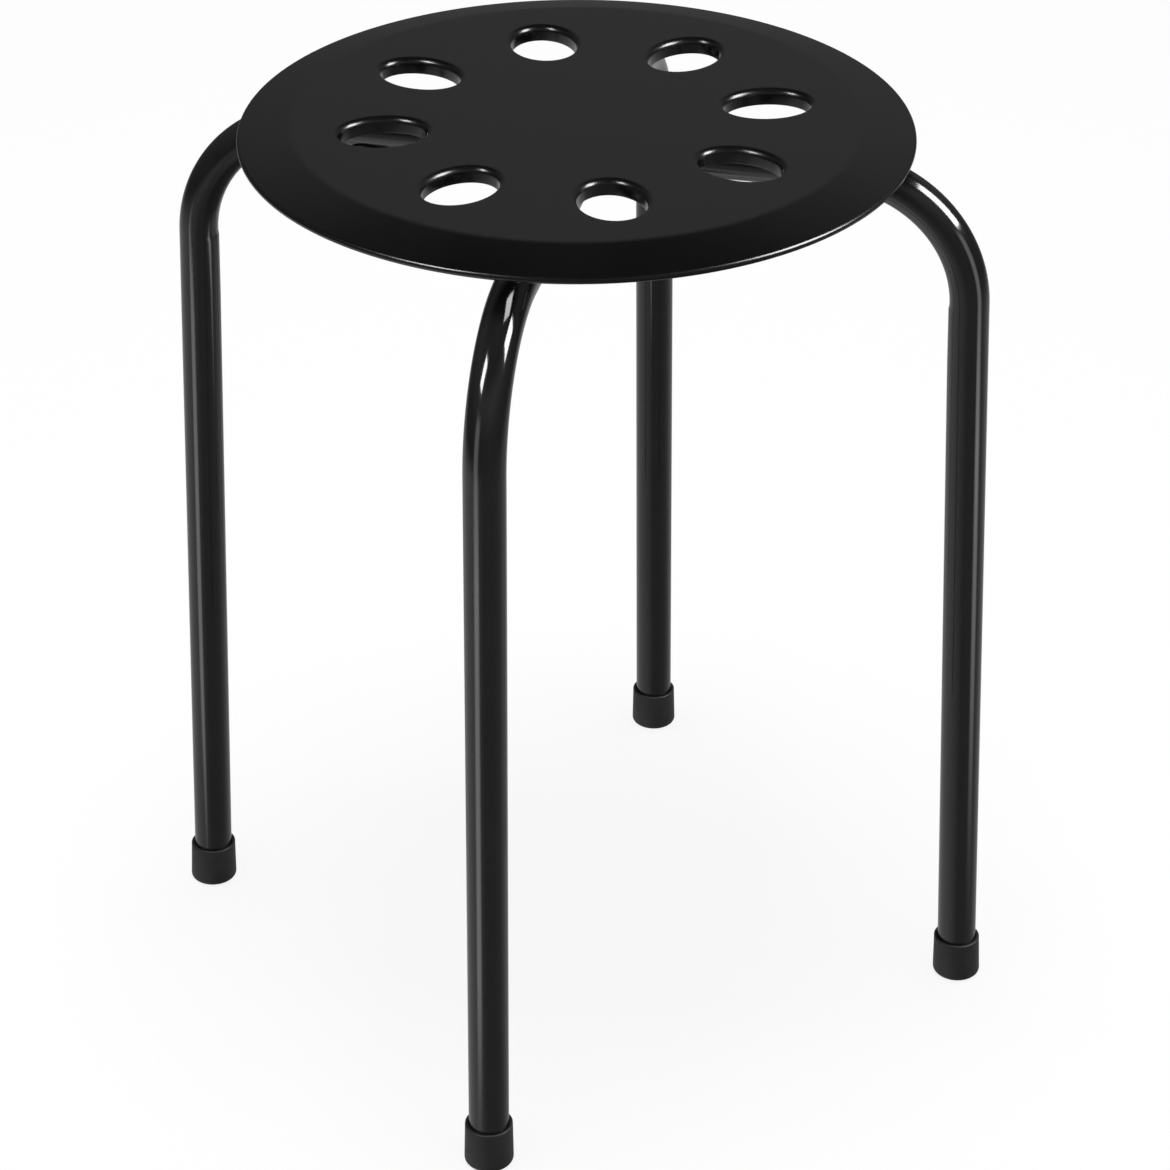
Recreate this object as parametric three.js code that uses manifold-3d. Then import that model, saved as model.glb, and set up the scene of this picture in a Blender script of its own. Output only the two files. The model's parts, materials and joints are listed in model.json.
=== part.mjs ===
// Stacking stool: a round pressed-steel seat on two crossing U-shaped leg frames of bent tube.
// Units are millimetres and +Z is up. The origin lies on the floor under the middle of the seat.
// The upper leg frame runs along X, the lower one passes under it along Y.
import * as THREE from 'three';
import { mergeVertices } from 'three/addons/utils/BufferGeometryUtils.js';
import Module from 'manifold-3d';

const wasm = await Module();
wasm.setup();

// Whole stool
const seatHeight = 450; // top of the seat above the floor
const seatDiameter = 310;
const footCircleDiameter = 392; // through the middles of the four feet
const fitGap = 0.3; // left between pieces that touch or fit into each other
const cutOverrun = 2; // how far a cutting shape runs past the faces it cuts

// Seat, pressed from one sheet
const sheetThickness = 1.2;
const bevelWidth = 24; // sloping border between the flat top and the rim
const bevelDrop = 7; // height lost from the flat top to the widest line of the rim
const bevelBendRadius = 15;
const hemRadius = 1.8; // outside of the hem that turns the rim under
const hemReturn = 5; // how far the turned edge runs back inwards

// Oval holes with drawn-down edges
const holeCount = 8;
const holeRingRadius = 89;
const holeLength = 40; // clear opening, along the radius of the seat
const holeWidth = 30.5; // clear opening, across the radius
const holeRollRadius = 3; // top edge, rolled over into the wall
const holeWallDepth = 7.7; // from the flat top to the lower edge of the wall

// Leg frames
const tubeDiameter = 19;
const tubeWall = 1.2;
const levelRun = 241; // straight part under the seat, from bend to bend
const tubeBendRadius = 63; // to the centre line
const upperFrameDrop = 13.8; // from the flat top to the upper frame's centre line
const pressedDepth = 3.4; // taken off each tube where the frames cross
const pressedLength = 21; // level part of the pressed flat
const pressedBlend = 14; // each end of the flat, running out to the round tube

// Fasteners between the seat and the frames. Each nut lies inside its tube.
const fastenerRadius = 99; // from the middle of the seat
const studDiameter = 6;
const studFlangeDiameter = 9;
const studFlangeThickness = 1;
const studTipChamfer = 0.8;
const studBeyondNut = 1.2;
const nutAcrossFlats = 10;
const nutHeight = 5;
const boreClearance = 0.3; // round a stud, on the radius
const accessDiameter = 13; // hole below each nut, through which it is tightened

// Spacers above the tubes. The bumpers below them fill the access holes and end on one level:
// tall ones on the upper frame, and low buttons that follow the tube on the lower one.
const spacerDiameter = 16;
const spacerWrap = 3; // how far a spacer reaches down beside the tube
const spacerChamfer = 0.8;
const bumperDiameter = 16.4;
const bumperWrap = 3; // how far a bumper reaches up beside the tube
const bumperSeatThickness = 3; // between the tube and the recess
const bumperRecessDiameter = 12.4;
const bumperRound = 0.8;
const buttonDiameter = 15;
const buttonHead = 1; // below the tube
const shankRise = 6; // how far a bumper or button reaches up inside the tube

// Foot caps
const capHeight = 21.5;
const capTopDiameter = 22.2;
const capBaseDiameter = 23;
const capSoleThickness = 3;
const capSoleRound = 2.6;
const capMouthRound = 0.5;

// Faces
const seatSides = 60;
const holeSides = 22;
const holeRollSteps = 3;
const tubeSides = 20;
const boreSides = 12;
const capSides = 20;
const smallSides = 16;
const bendSteps = 9;
const blendSteps = 3;
const hemSteps = 5;
const soleSteps = 3;
const arcSteps = 2;
const chamferSteps = 1;
const nutSides = 6;

const seatRadius = seatDiameter / 2;
const tubeRadius = tubeDiameter / 2;
const tubeBoreRadius = tubeRadius - tubeWall;
const footRadius = footCircleDiameter / 2;
const plateUnderside = seatHeight - sheetThickness;
const upperTubeHeight = seatHeight - upperFrameDrop;
const crossingPitch = tubeDiameter - 2 * pressedDepth + fitGap; // between the two centre lines
const lowerTubeHeight = upperTubeHeight - crossingPitch;
const studBoreRadius = studDiameter / 2 + boreClearance;
const stackingLevel = lowerTubeHeight - tubeRadius - fitGap - buttonHead;

// Surfaces
const steelColour = 0x141414;
const plasticColour = 0x101010;
const rubberColour = 0x0f0f10;
const zincColour = 0x8f9296;

function seatFinish() {
  return new THREE.MeshStandardMaterial({ color: steelColour, roughness: 0.5, metalness: 0 });
}

function tubeFinish() {
  return new THREE.MeshStandardMaterial({ color: steelColour, roughness: 0.2, metalness: 0 });
}

function rubberFinish() {
  return new THREE.MeshStandardMaterial({ color: rubberColour, roughness: 0.65, metalness: 0 });
}

function plasticFinish() {
  return new THREE.MeshStandardMaterial({ color: plasticColour, roughness: 0.5, metalness: 0 });
}

function zincFinish() {
  return new THREE.MeshStandardMaterial({ color: zincColour, roughness: 0.4, metalness: 1 });
}

// A closed geometry as a solid that can be cut and joined.
function toSolid(geometry) {
  const bare = new THREE.BufferGeometry();
  bare.setAttribute('position', geometry.getAttribute('position').clone());
  if (geometry.index) bare.setIndex(geometry.index.clone());
  const merged = mergeVertices(bare);
  const triVerts = [];
  for (let i = 0; i < merged.index.count; i += 3) {
    const [a, b, c] = [0, 1, 2].map((k) => merged.index.getX(i + k));
    if (a !== b && b !== c && c !== a) triVerts.push(a, b, c);
  }
  return new wasm.Manifold(new wasm.Mesh({
    numProp: 3,
    vertProperties: merged.getAttribute('position').array,
    triVerts: new Uint32Array(triVerts),
  }));
}

function toGeometry(solid) {
  const { vertProperties, triVerts } = solid.getMesh();
  const geometry = new THREE.BufferGeometry();
  geometry.setAttribute('position', new THREE.BufferAttribute(vertProperties, 3));
  geometry.setIndex(new THREE.BufferAttribute(triVerts, 1));
  geometry.computeVertexNormals();
  return geometry;
}

function pointAt(centreX, centreY, radius, angle) {
  return new THREE.Vector2(centreX + radius * Math.cos(angle), centreY + radius * Math.sin(angle));
}

// Points of an arc from one angle to another, both included.
function arc(centreX, centreY, radius, from, to, steps = arcSteps) {
  const points = [];
  for (let i = 0; i <= steps; i++) {
    points.push(pointAt(centreX, centreY, radius, from + ((to - from) * i) / steps));
  }
  return points;
}

function circleOutline(radius, sides) {
  return arc(0, 0, radius, 0, 2 * Math.PI, sides).slice(1);
}

// A profile of radius and height, turned about the Z axis.
function turned(profile, sides) {
  return new THREE.LatheGeometry(profile, sides).rotateX(Math.PI / 2);
}

// A plain rod along Z between two heights.
function rod(radius, low, high, sides = smallSides) {
  return new THREE.CylinderGeometry(radius, radius, high - low, sides)
    .rotateX(Math.PI / 2)
    .translate(0, 0, (low + high) / 2);
}

// The outside of a run of tube along X, larger by the fit gap and any further growth.
function tubeCutter(length, height, growth = 0) {
  const radius = tubeRadius + fitGap + growth;
  return new THREE.CylinderGeometry(radius, radius, length, tubeSides)
    .rotateZ(Math.PI / 2)
    .translate(0, 0, height);
}

// Section of the seat without its holes: flat top, bevel and turned-under hem, heights from the top.
function seatProfile() {
  const flatRadius = seatRadius - bevelWidth;
  const hemCentre = new THREE.Vector2(seatRadius - hemRadius, -bevelDrop);
  const toHem = new THREE.Vector2(hemCentre.x - flatRadius, hemCentre.y);
  const slope = toHem.angle() - 2 * Math.PI + Math.asin(hemRadius / toHem.length());
  const bendStart = flatRadius - bevelBendRadius * Math.tan(-slope / 2);
  const up = Math.PI / 2;
  const innerHemRadius = hemRadius - sheetThickness;
  const inwards = new THREE.Vector2(-Math.cos(slope), -Math.sin(slope)).multiplyScalar(hemReturn);
  const lowerSheet = pointAt(hemCentre.x, hemCentre.y, hemRadius, slope - up);
  const innerSheet = pointAt(hemCentre.x, hemCentre.y, innerHemRadius, slope - up);
  const under = bevelBendRadius - sheetThickness;
  return [
    new THREE.Vector2(0, -sheetThickness),
    ...arc(bendStart, -bevelBendRadius, under, up, up + slope),
    ...arc(hemCentre.x, hemCentre.y, innerHemRadius, up + slope, slope - up),
    innerSheet.clone().add(inwards),
    lowerSheet.clone().add(inwards),
    ...arc(hemCentre.x, hemCentre.y, hemRadius, slope - up, up + slope, hemSteps),
    ...arc(bendStart, -bevelBendRadius, bevelBendRadius, up + slope, up),
    new THREE.Vector2(0, 0),
  ];
}

// A section of outward offset and height, carried once round the oval of a seat hole.
function sweptRoundOval(section) {
  const halfLength = holeLength / 2;
  const halfWidth = holeWidth / 2;
  const positions = [];
  const index = [];
  for (let i = 0; i < holeSides; i++) {
    const angle = (2 * Math.PI * i) / holeSides;
    const edge = new THREE.Vector2(halfLength * Math.cos(angle), halfWidth * Math.sin(angle));
    const outwards = new THREE.Vector2(halfWidth * Math.cos(angle), halfLength * Math.sin(angle))
      .normalize();
    for (const point of section) {
      positions.push(edge.x + outwards.x * point.x, edge.y + outwards.y * point.x, point.y);
    }
    for (let j = 0; j < section.length; j++) {
      const [here, next] = [i * section.length, ((i + 1) % holeSides) * section.length];
      const k = (j + 1) % section.length;
      index.push(here + j, next + j, next + k, here + j, next + k, here + k);
    }
  }
  const geometry = new THREE.BufferGeometry();
  geometry.setAttribute('position', new THREE.Float32BufferAttribute(positions, 3));
  geometry.setIndex(index);
  return geometry;
}

// The drawn edge of a hole: rolled over from the sheet into an upright wall.
function holeEdge() {
  const overlap = sheetThickness; // into the sheet around it
  const innerRoll = holeRollRadius - sheetThickness;
  return sweptRoundOval([
    new THREE.Vector2(holeRollRadius + overlap, -sheetThickness),
    new THREE.Vector2(holeRollRadius + overlap, 0),
    ...arc(holeRollRadius, -holeRollRadius, holeRollRadius, Math.PI / 2, Math.PI, holeRollSteps),
    new THREE.Vector2(0, -holeWallDepth),
    new THREE.Vector2(sheetThickness, -holeWallDepth),
    ...arc(holeRollRadius, -holeRollRadius, innerRoll, Math.PI, Math.PI / 2, chamferSteps),
  ]);
}

// What is punched out of the flat sheet before the edge is drawn.
function holeBlank() {
  const reach = holeRollRadius + sheetThickness / 2;
  return new THREE.ExtrudeGeometry(new THREE.Shape(ovalOutline(reach)), {
    depth: sheetThickness + 2 * cutOverrun,
    bevelEnabled: false,
  }).translate(0, 0, -sheetThickness - cutOverrun);
}

function ovalOutline(offset) {
  const points = [];
  for (let i = 0; i < holeSides; i++) {
    const angle = (2 * Math.PI * i) / holeSides;
    const outwards = new THREE.Vector2(
      holeWidth * Math.cos(angle),
      holeLength * Math.sin(angle),
    ).setLength(offset);
    points.push(new THREE.Vector2(
      (holeLength / 2) * Math.cos(angle),
      (holeWidth / 2) * Math.sin(angle),
    ).add(outwards));
  }
  return points;
}

function seatGeometry() {
  const pitch = (2 * Math.PI) / holeCount;
  let seat = toSolid(turned(seatProfile(), seatSides));
  for (let i = 0; i < holeCount; i++) {
    const place = (geometry) => toSolid(
      geometry.translate(holeRingRadius, 0, 0).rotateZ(pitch * (i + 0.5)),
    );
    seat = seat.subtract(place(holeBlank())).add(place(holeEdge()));
  }
  return toGeometry(seat);
}

// How far a leg leans outwards on its way down from the bend to its foot, in radians.
function legLean(height) {
  const across = footRadius - levelRun / 2;
  const down = height - tubeBendRadius;
  return Math.acos(tubeBendRadius / Math.hypot(across, down)) - Math.atan2(down, across);
}

// Centre line of a U-shaped leg frame in its XZ plane: foot, leg, bend, level run, bend, leg, foot.
// Its points are closest together where the tube bends or is pressed flat.
class FrameLine extends THREE.Curve {
  constructor(height, footHeight) {
    super();
    this.height = height;
    this.lean = legLean(height);
    this.runHalf = levelRun / 2;
    this.bendLength = tubeBendRadius * (Math.PI / 2 - this.lean);
    const bendEnd = height - tubeBendRadius * (1 - Math.sin(this.lean));
    const legLength = (bendEnd - footHeight) / Math.cos(this.lean);
    const half = [0, pressedLength / 2];
    for (let i = 1; i <= blendSteps; i++) {
      half.push(pressedLength / 2 + (pressedBlend * i) / blendSteps);
    }
    for (let i = 0; i <= bendSteps; i++) {
      half.push(this.runHalf + (this.bendLength * i) / bendSteps);
    }
    half.push(this.runHalf + this.bendLength + legLength);
    this.stations = [...half.slice(1).reverse().map((s) => -s), ...half];
  }

  get steps() {
    return this.stations.length - 1;
  }

  getUtoTmapping(u) {
    return u;
  }

  getPoint(t, target = new THREE.Vector3()) {
    const place = t * this.steps;
    const i = Math.min(Math.max(Math.floor(place), 0), this.steps - 1);
    const along = THREE.MathUtils.lerp(this.stations[i], this.stations[i + 1], place - i);
    const distance = Math.abs(along);
    const bent = THREE.MathUtils.clamp(distance - this.runHalf, 0, this.bendLength) / tubeBendRadius;
    const down = Math.max(distance - this.runHalf - this.bendLength, 0);
    const x = Math.min(distance, this.runHalf) + tubeBendRadius * Math.sin(bent)
      + down * Math.sin(this.lean);
    const z = this.height - tubeBendRadius * (1 - Math.cos(bent)) - down * Math.cos(this.lean);
    return target.set(Math.sign(along) * x, 0, z);
  }
}

// How deep the tube is pressed at a distance from the crossing.
function pressedAt(distance) {
  const out = THREE.MathUtils.clamp((distance - pressedLength / 2) / pressedBlend, 0, 1);
  return pressedDepth * (1 - THREE.MathUtils.smoothstep(out, 0, 1));
}

// Presses the level run flat at its middle, on the side that faces the other frame.
function pressFlat(geometry, height, side) {
  const position = geometry.getAttribute('position');
  for (let i = 0; i < position.count; i++) {
    const [x, y, z] = [position.getX(i), position.getY(i), position.getZ(i)];
    const rise = side * (z - height);
    const isOutside = Math.hypot(y, z - height) > tubeRadius - tubeWall / 2;
    const depth = pressedAt(Math.abs(x));
    const limit = (isOutside ? tubeRadius : tubeBoreRadius) - depth;
    if (depth > 0 && rise > limit) position.setZ(i, height + side * limit);
  }
  return geometry;
}

function frameGeometry(height, side) {
  const heelRise = tubeRadius * Math.abs(Math.sin(legLean(height)));
  const line = new FrameLine(height, capSoleThickness + fitGap + heelRise);
  const section = new THREE.Shape(circleOutline(tubeRadius, tubeSides));
  section.holes.push(new THREE.Path(circleOutline(tubeBoreRadius, boreSides)));
  const tube = new THREE.ExtrudeGeometry(section, { steps: line.steps, extrudePath: line });
  let frame = toSolid(pressFlat(tube, height, side));
  for (const x of [-fastenerRadius, fastenerRadius]) {
    const reach = tubeRadius + cutOverrun;
    const bore = rod(studBoreRadius, height, height + reach, boreSides);
    const access = rod(accessDiameter / 2, height - reach, height);
    for (const hole of [bore, access]) {
      frame = frame.subtract(toSolid(hole.translate(x, 0, 0)));
    }
  }
  return toGeometry(frame);
}

// Rubber cap over the end of a leg. It leans with the leg, and its sole lies flat on the floor.
function footCapGeometry(lean) {
  const [top, base] = [capTopDiameter / 2, capBaseDiameter / 2];
  const bore = tubeRadius / Math.cos(lean) + fitGap;
  const leaning = new THREE.Matrix4().makeShear(0, 0, 0, 0, -Math.tan(lean), 0);
  return turned([
    new THREE.Vector2(0, 0),
    ...arc(base - capSoleRound, capSoleRound, capSoleRound, -Math.PI / 2, 0, soleSteps),
    ...arc(top - capMouthRound, capHeight - capMouthRound, capMouthRound, 0, Math.PI / 2, chamferSteps),
    new THREE.Vector2(bore, capHeight),
    new THREE.Vector2(bore, capSoleThickness),
    new THREE.Vector2(0, capSoleThickness),
  ], capSides).applyMatrix4(leaning);
}

// Stud welded under the seat, in heights of the whole stool.
function studGeometry(tubeHeight) {
  const top = plateUnderside - fitGap;
  const radius = studDiameter / 2;
  const tip = nutTop(tubeHeight) - nutHeight - studBeyondNut;
  return turned([
    new THREE.Vector2(0, tip),
    new THREE.Vector2(radius - studTipChamfer, tip),
    new THREE.Vector2(radius, tip + studTipChamfer),
    new THREE.Vector2(radius, top - studFlangeThickness),
    new THREE.Vector2(studFlangeDiameter / 2, top - studFlangeThickness),
    new THREE.Vector2(studFlangeDiameter / 2, top),
    new THREE.Vector2(0, top),
  ], boreSides);
}

// Where the nut's upper edges come up against the round bore of the tube.
function nutTop(tubeHeight) {
  const boreFlat = tubeBoreRadius * Math.cos(Math.PI / boreSides);
  return tubeHeight + Math.sqrt(boreFlat ** 2 - (nutAcrossFlats / 2) ** 2) - fitGap;
}

function nutGeometry(tubeHeight) {
  const corner = nutAcrossFlats / 2 / Math.cos(Math.PI / nutSides);
  const section = new THREE.Shape(circleOutline(corner, nutSides));
  section.holes.push(new THREE.Path(circleOutline(studBoreRadius, boreSides)));
  return new THREE.ExtrudeGeometry(section, { depth: nutHeight, bevelEnabled: false })
    .translate(0, 0, nutTop(tubeHeight) - nutHeight);
}

// Spacer between the seat and a tube, saddle-shaped below, with room for the stud's flange above.
function spacerGeometry(tubeHeight) {
  const top = plateUnderside - fitGap;
  const low = tubeHeight + tubeRadius - spacerWrap;
  const radius = spacerDiameter / 2;
  const flangeRadius = studFlangeDiameter / 2 + fitGap;
  const flangeLow = top - studFlangeThickness - fitGap;
  const body = turned([
    new THREE.Vector2(studBoreRadius, low),
    new THREE.Vector2(radius - spacerChamfer, low),
    new THREE.Vector2(radius, low + spacerChamfer),
    new THREE.Vector2(radius, top),
    new THREE.Vector2(flangeRadius, top),
    new THREE.Vector2(flangeRadius, flangeLow),
    new THREE.Vector2(studBoreRadius, flangeLow),
    new THREE.Vector2(studBoreRadius, low),
  ], smallSides);
  const saddle = tubeCutter(spacerDiameter + 2 * cutOverrun, tubeHeight);
  return toGeometry(toSolid(body).subtract(toSolid(saddle)));
}

// The upright middle of a bumper or button, from a height below the tube to its end inside.
function shank(tubeHeight, low) {
  return toSolid(rod(accessDiameter / 2 - fitGap, low, tubeHeight - tubeRadius + shankRise));
}

// Bumper under the upper frame: a saddle and a shank above, and a moulded recess below.
function bumperGeometry(tubeHeight) {
  const underTube = tubeHeight - tubeRadius - fitGap;
  const high = tubeHeight - tubeRadius + bumperWrap;
  const ceiling = underTube - bumperSeatThickness;
  const radius = bumperDiameter / 2;
  const recess = bumperRecessDiameter / 2;
  const body = turned([
    new THREE.Vector2(recess, stackingLevel),
    ...arc(radius - bumperRound, stackingLevel + bumperRound, bumperRound, -Math.PI / 2, 0),
    new THREE.Vector2(radius, high),
    new THREE.Vector2(0, high),
    new THREE.Vector2(0, ceiling),
    new THREE.Vector2(recess, ceiling),
    new THREE.Vector2(recess, stackingLevel),
  ], smallSides);
  const saddle = tubeCutter(bumperDiameter + 2 * cutOverrun, tubeHeight);
  const middle = shank(tubeHeight, underTube - bumperSeatThickness / 2);
  return toGeometry(toSolid(body).subtract(toSolid(saddle)).add(middle));
}

// Button under the lower frame: a thin head that follows the tube, and a shank.
function buttonGeometry(tubeHeight) {
  const length = buttonDiameter + 2 * cutOverrun;
  const high = tubeHeight - tubeRadius + shankRise;
  const head = toSolid(rod(buttonDiameter / 2, stackingLevel - cutOverrun, high))
    .subtract(toSolid(tubeCutter(length, tubeHeight)));
  const outside = toSolid(tubeCutter(length, tubeHeight, buttonHead));
  return toGeometry(head.add(shank(tubeHeight, stackingLevel - cutOverrun)).intersect(outside));
}

function piece(name, geometry, material) {
  const mesh = new THREE.Mesh(geometry, material);
  mesh.name = name;
  return mesh;
}

// One leg frame with its two feet and the fasteners at its two ends, lying along X.
function frameAssembly(frameName, ends, tubeHeight, pressedSide, bumper) {
  const assembly = new THREE.Group();
  assembly.add(piece(frameName, frameGeometry(tubeHeight, pressedSide), tubeFinish()));
  ends.forEach((end, i) => {
    const fasteners = new THREE.Group();
    fasteners.add(piece(`seat_stud_${end}`, studGeometry(tubeHeight), zincFinish()));
    fasteners.add(piece(`seat_spacer_${end}`, spacerGeometry(tubeHeight), plasticFinish()));
    fasteners.add(piece(`stacking_bumper_${end}`, bumper(tubeHeight), plasticFinish()));
    fasteners.add(piece(`frame_nut_${end}`, nutGeometry(tubeHeight), zincFinish()));
    fasteners.position.x = fastenerRadius;
    const foot = piece(`foot_cap_${end}`, footCapGeometry(legLean(tubeHeight)), rubberFinish());
    foot.position.x = footRadius;
    const half = new THREE.Group();
    half.add(fasteners, foot);
    half.rotation.z = Math.PI * i;
    assembly.add(half);
  });
  return assembly;
}

const stool = new THREE.Group();

const seat = piece('seat_pan', seatGeometry(), seatFinish());
seat.position.z = seatHeight;
stool.add(seat);

stool.add(frameAssembly('upper_leg_frame', ['right', 'left'], upperTubeHeight, -1, bumperGeometry));

const lowerEnds = ['back', 'front'];
const lowerAssembly = frameAssembly('lower_leg_frame', lowerEnds, lowerTubeHeight, 1, buttonGeometry);
lowerAssembly.rotation.z = Math.PI / 2;
stool.add(lowerAssembly);

export default stool;
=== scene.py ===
import json
import math

import bmesh
import bpy
from mathutils import Matrix, Vector


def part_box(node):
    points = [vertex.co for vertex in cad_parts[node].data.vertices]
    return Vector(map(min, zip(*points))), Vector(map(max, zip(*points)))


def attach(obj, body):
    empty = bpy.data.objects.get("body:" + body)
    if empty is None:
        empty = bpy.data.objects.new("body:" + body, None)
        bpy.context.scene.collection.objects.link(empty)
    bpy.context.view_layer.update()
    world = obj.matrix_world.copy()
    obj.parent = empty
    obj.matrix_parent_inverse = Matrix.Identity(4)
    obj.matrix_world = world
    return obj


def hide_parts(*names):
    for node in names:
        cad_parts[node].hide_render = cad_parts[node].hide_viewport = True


# Black stacking stool: pressed seat with eight oval holes on two crossing tube frames.
# Metres, +Z up, the floor at Z = 0. The right and left legs lie on X, the back and front ones on Y.

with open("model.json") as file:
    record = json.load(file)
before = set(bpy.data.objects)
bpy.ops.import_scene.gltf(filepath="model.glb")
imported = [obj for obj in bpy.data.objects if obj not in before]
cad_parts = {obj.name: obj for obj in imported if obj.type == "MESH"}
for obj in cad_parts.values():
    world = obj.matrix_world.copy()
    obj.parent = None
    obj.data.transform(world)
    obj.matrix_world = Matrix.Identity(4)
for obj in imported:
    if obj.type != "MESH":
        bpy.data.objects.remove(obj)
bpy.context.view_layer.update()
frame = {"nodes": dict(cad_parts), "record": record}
print("frame loaded,", len(frame["nodes"]), "nodes")

mountPlaces = {m["name"]: Vector(m["pos_m"]) for m in frame["record"]["mounts"]}
footRadius = mountPlaces["foot_right"].x  # of the circle through the feet
quarterTurn = math.pi / 2
fullTurn = 2 * math.pi
endTurns = {"right": 0, "back": 1, "left": 2, "front": 3}  # quarter turns from +X
frameEnds = {"upper_leg_frame": ("right", "left"), "lower_leg_frame": ("back", "front")}


def addObject(name, data):
    made = bpy.data.objects.new(name, data)
    bpy.context.scene.collection.objects.link(made)
    return made


# The photograph's view, measured against a camera that looks along +Y before the turn.
photoView = {
    "imagePixels": 1170,
    "focalPixels": 3808.61,
    "sensor": 36,  # mm
    "away": 1.5999,  # along the floor, from the middle of the seat
    "height": 1.15703,
    "pan": 0.131,  # degrees, as are the next three
    "tilt": -30.845,
    "roll": -0.054,
    "turn": 12.488,
    "clipEnd": 50,  # well past the floor's edge
}


def makeCamera():
    data = bpy.data.cameras.new("photoCamera")
    data.sensor_width = photoView["sensor"]
    data.lens = photoView["focalPixels"] * photoView["sensor"] / photoView["imagePixels"]
    data.clip_end = photoView["clipEnd"]
    camera = addObject("photoCamera", data)
    turn = Matrix.Rotation(math.radians(photoView["turn"]), 4, "Z")
    place = Matrix.Translation((0, -photoView["away"], photoView["height"]))
    pan = Matrix.Rotation(-math.radians(photoView["pan"]), 4, "Z")
    tilt = Matrix.Rotation(math.radians(90 + photoView["tilt"]), 4, "X")
    roll = Matrix.Rotation(math.radians(photoView["roll"]), 4, "Z")
    camera.matrix_world = turn @ place @ pan @ tilt @ roll
    bpy.context.scene.camera = camera


makeCamera()
print("camera placed")


# Node helpers
def addNode(tree, kind, **settings):
    node = tree.nodes.new(kind)
    for name, value in settings.items():
        setattr(node, name, value)
    return node


def setInputs(node, values):
    for name, value in values.items():
        node.inputs[name].default_value = value
    return node


def joinNodes(tree, *pairs):
    for source, target in pairs:
        tree.links.new(source, target)


def feed(tree, socket, value):
    if isinstance(value, bpy.types.NodeSocket):
        tree.links.new(value, socket)
    else:
        socket.default_value = value


def mathNode(tree, operation, *values):
    node = addNode(tree, "ShaderNodeMath", operation=operation)
    for socket, value in zip(node.inputs, values):
        feed(tree, socket, value)
    return node.outputs[0]


def mixNode(tree, share, first, second):
    node = addNode(tree, "ShaderNodeMix", data_type="FLOAT")
    for name, value in (("Factor", share), ("A", first), ("B", second)):
        feed(tree, node.inputs[name], value)
    return node.outputs["Result"]


def makeBareMaterial(name):
    material = bpy.data.materials.new(name)
    material.use_nodes = True
    material.node_tree.nodes.clear()
    return material


# The effect that the finishes share: fine grain of a coat or moulding, with slow patches over it.
def makeGrainGroup():
    group = bpy.data.node_groups.new("coatGrain", "ShaderNodeTree")
    for name, start in (("Grain Scale", 2000.0), ("Patch Scale", 30.0), ("Stretch", 1.0)):
        socket = group.interface.new_socket(name, in_out="INPUT", socket_type="NodeSocketFloat")
        socket.default_value = start
    for name in ("Grain", "Patches"):
        group.interface.new_socket(name, in_out="OUTPUT", socket_type="NodeSocketFloat")
    start = addNode(group, "NodeGroupInput")
    end = addNode(group, "NodeGroupOutput")
    place = addNode(group, "ShaderNodeTexCoord")
    squeeze = addNode(group, "ShaderNodeCombineXYZ")
    setInputs(squeeze, {"X": 1.0, "Y": 1.0})
    stretched = addNode(group, "ShaderNodeVectorMath", operation="MULTIPLY")
    grain = setInputs(addNode(group, "ShaderNodeTexNoise"), {"Detail": 3.0, "Roughness": 0.6})
    patches = setInputs(addNode(group, "ShaderNodeTexNoise"), {"Detail": 4.0, "Roughness": 0.55})
    joinNodes(
        group,
        (start.outputs["Stretch"], squeeze.inputs["Z"]),
        (place.outputs["Object"], stretched.inputs[0]),
        (squeeze.outputs[0], stretched.inputs[1]),
        (stretched.outputs[0], grain.inputs["Vector"]),
        (stretched.outputs[0], patches.inputs["Vector"]),
        (start.outputs["Grain Scale"], grain.inputs["Scale"]),
        (start.outputs["Patch Scale"], patches.inputs["Scale"]),
        (grain.outputs[0], end.inputs["Grain"]),
        (patches.outputs[0], end.inputs["Patches"]),
    )
    return group


coatGrain = makeGrainGroup()


# Every finish is a Principled shader with two near tones, a roughness range and a fine bump. Over
# these values of the patches it goes from the dark tone to the pale one, and from smooth to rough.
patchRange = {"tone": (0.35, 0.65), "sheen": (0.3, 0.7)}


def makeFinish(name, look):
    material = makeBareMaterial(name)
    tree = material.node_tree
    output = addNode(tree, "ShaderNodeOutputMaterial")
    shader = addNode(tree, "ShaderNodeBsdfPrincipled")
    grain = addNode(tree, "ShaderNodeGroup", node_tree=coatGrain)
    setInputs(grain, {
        "Grain Scale": look["grainScale"],
        "Patch Scale": look["patchScale"],
        "Stretch": look.get("stretch", 1.0),
    })
    tone = addNode(tree, "ShaderNodeValToRGB")
    colours = (look["darkTone"], look["paleTone"])
    for stop, place, colour in zip(tone.color_ramp.elements, patchRange["tone"], colours):
        stop.position = place
        stop.color = (*colour, 1)
    sheen = setInputs(addNode(tree, "ShaderNodeMapRange"), {
        "From Min": patchRange["sheen"][0],
        "From Max": patchRange["sheen"][1],
        "To Min": look["smooth"],
        "To Max": look["rough"],
    })
    bump = setInputs(addNode(tree, "ShaderNodeBump"), {
        "Strength": look["bump"],
        "Distance": look["bumpDepth"],
    })
    setInputs(shader, {
        "Metallic": look.get("metallic", 0.0),
        "IOR": 1.5,
    })
    joinNodes(
        tree,
        (grain.outputs["Patches"], tone.inputs[0]),
        (grain.outputs["Patches"], sheen.inputs["Value"]),
        (grain.outputs["Grain"], bump.inputs["Height"]),
        (tone.outputs[0], shader.inputs["Base Color"]),
        (sheen.outputs[0], shader.inputs["Roughness"]),
        (bump.outputs[0], shader.inputs["Normal"]),
        (shader.outputs[0], output.inputs["Surface"]),
    )
    return material


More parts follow.
